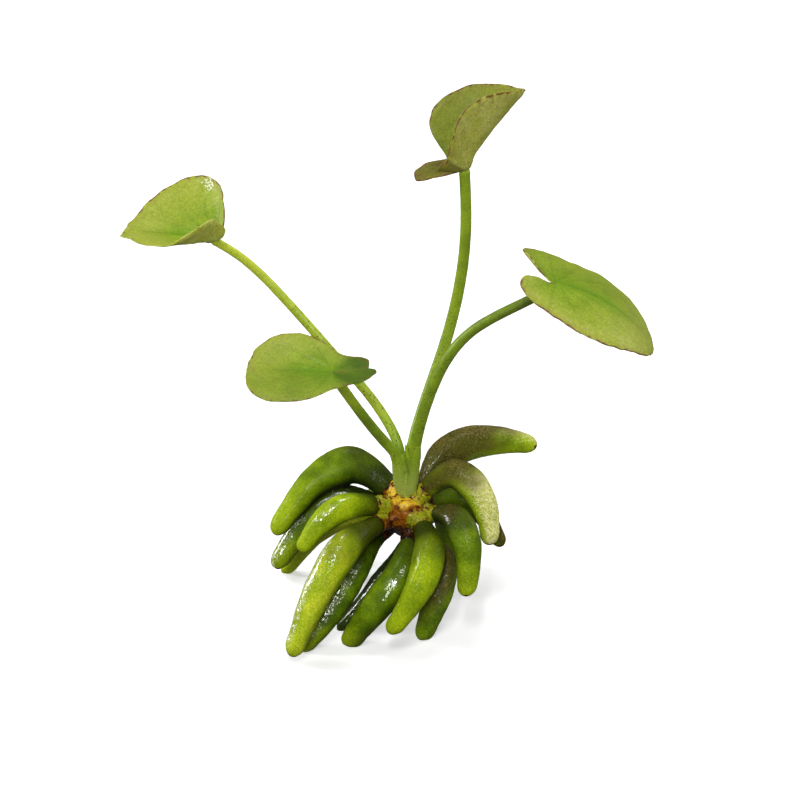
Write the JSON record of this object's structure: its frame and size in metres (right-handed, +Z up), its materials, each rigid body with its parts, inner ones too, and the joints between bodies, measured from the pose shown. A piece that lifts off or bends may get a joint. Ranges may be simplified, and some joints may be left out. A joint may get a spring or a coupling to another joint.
{
  "type": "banana lily",
  "caption": "Small water plant: banana-shaped storage roots bunched below a yellow crown, and heart-shaped leaves on slender stalks above it. It stands on its root tips.",
  "frame": {"origin": "on the surface that the plant stands on, under the middle of its bounding box", "axes": "+Z up, +X to the right of someone who faces the plant as the picture does, +Y away from them"},
  "size_m": [0.1046, 0.0588, 0.105],
  "materials": {
    "root_green": "wet, slightly bumpy green skin, yellower at the tip and purple-brown in patches",
    "crown_yellow": "wet amber yellow with brown dots and ring scars",
    "stalk_green": "smooth green with brown speckles",
    "blade_green": "soft leaf green with fine veins and a purple-brown margin, grey-green below"
  },
  "bodies": {
    "root": {"crown": "crown_yellow", "root_left_high": "root_green", "root_left_mid": "root_green", "root_left_front": "root_green", "root_left_low": "root_green", "root_front_left": "root_green", "root_front_left_low": "root_green", "root_under": "root_green", "root_front_mid": "root_green", "root_front_right": "root_green", "root_front_low": "root_green", "root_right_front": "root_green", "root_right_high": "root_green", "root_right_back": "root_green", "root_right_mid": "root_green", "root_back_right": "root_green", "root_back_left": "root_green", "root_back": "root_green", "sheath": "stalk_green", "stalk_left_back": "stalk_green", "stalk_left_front": "stalk_green", "stalk_middle": "stalk_green", "stalk_right": "stalk_green", "blade_left_back": "blade_green", "blade_left_front": "blade_green", "blade_middle": "blade_green", "blade_right": "blade_green"}
  },
  "joints": []
}
